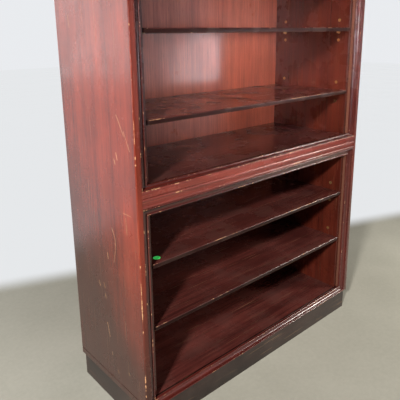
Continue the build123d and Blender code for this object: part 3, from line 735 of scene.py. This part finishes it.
def mid_rail(seed):
    """The moulded rail between the bays."""
    node = "mid_rail"
    low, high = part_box(node)
    deep = high.y - low.y
    tall = high.z - low.z
    upper = RAIL_BEAD + RAIL_BAND
    quirk = upper + RAIL_UPPER_BEAD
    flat = quirk + QUIRK
    r = RAIL_TOP_RADIUS
    step = RAIL_STEP

    def bead(bottom, top):
        """A shallow bead through the two ends of its chord, standing out by the step."""
        half = (top - bottom) / 2
        radius = (half * half + step * step) / (2 * step)
        sweep = math.degrees(math.asin(half / radius))
        return arc((radius, (bottom + top) / 2), (radius, radius), 180 + sweep, 180 - sweep, 10)

    profile = [(deep, 0.0), *bead(0.0, RAIL_BEAD), *bead(upper, quirk)]
    profile += [(QUIRK_DEPTH, quirk), (QUIRK_DEPTH, flat), (0.0, flat)]
    profile += line((0.0, flat), (0.0, tall - r), 4)
    profile += arc((r, tall - r), (r, r), 180, 90, 5)
    profile += [(r + (deep - r) * i / 4, tall) for i in (1, 2, 3, 4)]
    axes = (Vector((low.x, low.y, low.z)), Y, Z, X)
    length = high.x - low.x
    rings = np.linspace(0, 1, int(length / RAIL_RING) + 1)
    edges = [
        edge((0.3 * r, tall - 0.3 * r), reach=1.5, chips=40, depth=0.8, rub=0.48),
        edge((0.0, RAIL_BEAD / 2), reach=1.8, chips=8, depth=0.4, rub=0.36),
        edge((0.0, (upper + quirk) / 2), reach=1.8, chips=5, depth=0.3, rub=0.28),
    ]
    worn_piece("mid_rail_worn", node, profile, axes, 0.0, length, rings, edges, seed)


def shelf(node, seed):
    """A loose shelf with rounded front edges."""
    low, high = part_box(node)
    deep = high.y - low.y
    thick = high.z - low.z
    r = SHELF_EDGE
    profile = [(deep, 0.0), *arc((r, r), (r, r), 270, 180, 5), *line((0.0, r), (0.0, thick - r), 3)]
    profile += arc((r, thick - r), (r, r), 180, 90, 5)
    profile += [(r + extra * MM, thick) for extra in (0.7, 1.6, 3.0, 6.0, 14.0)]
    profile += [*line((r + 14 * MM, thick), (deep, thick), 5), (deep, thick)]
    axes = (Vector((low.x, low.y, low.z)), Y, Z, X)
    length = high.x - low.x
    rings = np.linspace(0, 1, int(length / STRIP_RING) + 1)
    edges = [
        # The top edge's steady rubbing is wear and partly a painted highlight: a pale line along the whole
        # arris.
        edge((0.3 * r, thick - 0.3 * r), reach=0.9, chips=10, depth=0.4, rub=0.74),
        edge((0.3 * r, 0.3 * r), reach=0.9, chips=4, depth=0.4, rub=0.34),
    ]
    worn_piece(f"{node}_worn", node, profile, axes, 0.0, length, rings, edges, seed)


side_panel("left", -1, seed=11)
side_panel("right", 1, seed=12)
for bay_number, bay in enumerate(("upper", "lower")):
    for side_number, side in enumerate(("left", "right", "top", "bottom")):
        frame_strip(bay, side, seed=20 + 4 * bay_number + side_number)
mid_rail(seed=31)
for number, node in enumerate(sorted(n for n in NODES if n.endswith(("shelf_1", "shelf_2")))):
    shelf(node, seed=40 + number)


# ---- the remaining CAD nodes: finishes, and arrises that catch the light ----
# Width of the bevel in mm, for the nodes whose names hold a word. The first word found counts.
ARRIS = {"plinth": 0.8, "top_panel": 0.6, "board": 0.6, "lining": 0.3}
for node, obj in NODES.items():
    for place in range(len(obj.material_slots)):
        obj.material_slots[place].material = material_of(node)
    softened = next((size for word, size in ARRIS.items() if word in node and "dowels" not in node), None)
    if softened:
        bevel = obj.modifiers.new("arris", "BEVEL")
        bevel.width = softened * MM
        bevel.segments = 2
        bevel.limit_method = "ANGLE"
        bevel.angle_limit = math.radians(ARRIS_ANGLE)


# ---- a plain round price dot, left on a shelf ----
def sticker():
    centre = Vector((*DOT_PLACE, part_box("lower_shelf_1")[1].z))
    built = bmesh.new()
    middle_lift = 0.22
    rings = [(0.55, 0.24), (0.9, 0.20), (1.0, 0.10), (1.0, 0.0)]  # part of the radius, height in mm
    rows = []
    for part, lift in rings:
        row = []
        for i in range(DOT_SIDES):
            t = 2 * math.pi * i / DOT_SIDES
            curl = DOT_CURL * max(0.0, math.cos(t - DOT_CURL_TOWARDS)) ** 4 * part**6 if lift else 0.0
            out = DOT_RADIUS * part
            offset = Vector((out * math.cos(t), out * math.sin(t), (lift + curl) * MM))
            row.append(built.verts.new(centre + offset))
        rows.append(row)
    top = built.verts.new(centre + Vector((0, 0, middle_lift * MM)))
    for i in range(DOT_SIDES):
        j = (i + 1) % DOT_SIDES
        built.faces.new((top, rows[0][i], rows[0][j]))
        for inner, outer in zip(rows[:-1], rows[1:]):
            built.faces.new((inner[i], outer[i], outer[j], inner[j]))
    built.faces.new(rows[-1][::-1])
    bmesh.ops.recalc_face_normals(built, faces=built.faces)
    mesh = bpy.data.meshes.new("price_dot")
    built.to_mesh(mesh)
    built.free()
    mesh.polygons.foreach_set("use_smooth", [True] * len(mesh.polygons))
    mesh.materials.append(sticker_paper())
    piece = add_object("price_dot", mesh)
    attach(piece, "lower_shelf_1")


sticker()


# ---- floor, light and camera ----
def floor():
    half = FLOOR_HALF
    mesh = bpy.data.meshes.new("studio_floor")
    corners = [(-half, -half, 0.0), (half, -half, 0.0), (half, half, 0.0), (-half, half, 0.0)]
    mesh.from_pydata(corners, [], [(0, 1, 2, 3)])
    mesh.materials.append(floor_paint())
    add_object("studio_floor", mesh)


def area_light(name, place, target, size, radiance, tint, spread=180.0):
    """A soft box that faces a target. Its power follows from its size and its radiance.

    spread is in degrees. Less than 180 narrows the light to a beam of the same power, so it gets brighter.
    """
    lamp = bpy.data.lights.new(name, "AREA")
    lamp.shape = "RECTANGLE"
    lamp.size, lamp.size_y = size
    lamp.energy = radiance * math.pi * size[0] * size[1]
    lamp.color = tint
    lamp.spread = math.radians(spread)
    obj = add_object(name, lamp)
    obj.location = place
    obj.rotation_euler = (Vector(target) - Vector(place)).to_track_quat("-Z", "Y").to_euler()
    obj.visible_camera = False


def world(tint, seen, shed):
    """A pale studio. It shows brighter than the light that it sheds, as a lit wall does behind an object."""
    sky = bpy.data.worlds.new("studio")
    bpy.context.scene.world = sky
    sky.use_nodes = True
    tree = sky.node_tree
    background = tree.nodes["Background"]
    background.inputs["Color"].default_value = colour(tint)
    path = tree.nodes.new("ShaderNodeLightPath")
    strength = tree.nodes.new("ShaderNodeMapRange")
    tree.links.new(path.outputs["Is Camera Ray"], strength.inputs["Value"])
    strength.inputs["To Min"].default_value = shed
    strength.inputs["To Max"].default_value = seen
    tree.links.new(strength.outputs[0], background.inputs["Strength"])


floor()
world((0.95, 0.97, 1.0), 0.86, 0.05)
# The key light stands where the photograph's shadows point. The beams stand where its highlights lead.
area_light("key", (-2.70, -1.55, 2.02), (0.0, 0.0, 0.55), (0.24, 0.24), 780.0, (1.0, 0.96, 0.92))
area_light(
    "left_window", (-1.35, -0.12, 0.88), (-0.457, -0.12, 0.80), (0.3, 0.3), 1.15, (1.0, 0.90, 0.86),
    spread=50.0,
)
area_light("left_wall", (-1.9, 1.5, 1.60), (-0.457, -0.1, 1.0), (2.2, 1.8), 2.6, (0.97, 0.98, 1.0))
area_light("front_fill", (1.7, -2.7, 1.0), (0.0, 0.0, 0.9), (2.6, 1.8), 0.62, (1.0, 0.92, 1.0))
area_light(
    "front_window", (2.58, -2.5, 0.74), (0.12, 0.16, 0.94), (0.80, 0.50), 0.27, (0.97, 0.93, 1.0),
    spread=26.0,
)
area_light(
    "floor_window", (2.7, -1.9, 1.7), (1.15, -0.55, 0.0), (0.6, 0.6), 10.0, (1.0, 0.95, 0.86),
    spread=60.0,
)
area_light(
    "left_glow", (-1.35, -2.0, 1.05), (0.30, 0.16, 0.93), (0.3, 0.3), 3.9, (1.0, 0.95, 1.0),
    spread=19.5,
)


def camera():
    """The photograph's viewpoint: from the front left, a metre above the floor, turned a little down."""
    lens = bpy.data.cameras.new("camera")
    lens.sensor_width = SENSOR_WIDTH
    lens.lens = FOCAL_LENGTH
    lens.shift_y = LENS_SHIFT
    lens.clip_start, lens.clip_end = 0.05, 60.0
    obj = add_object("camera", lens)
    level = math.cos(PITCH)
    ahead = Vector((math.sin(YAW) * level, math.cos(YAW) * level, -math.sin(PITCH)))
    right = Vector((math.cos(YAW), -math.sin(YAW), 0.0))
    up = right.cross(ahead)
    turned_right = right * math.cos(ROLL) + up * math.sin(ROLL)
    turned_up = up * math.cos(ROLL) - right * math.sin(ROLL)
    basis = Matrix((turned_right, turned_up, -ahead)).transposed().to_4x4()
    obj.matrix_world = Matrix.Translation(CAMERA_PLACE) @ basis
    bpy.context.scene.camera = obj


camera()
bpy.context.scene.view_settings.view_transform = "Standard"
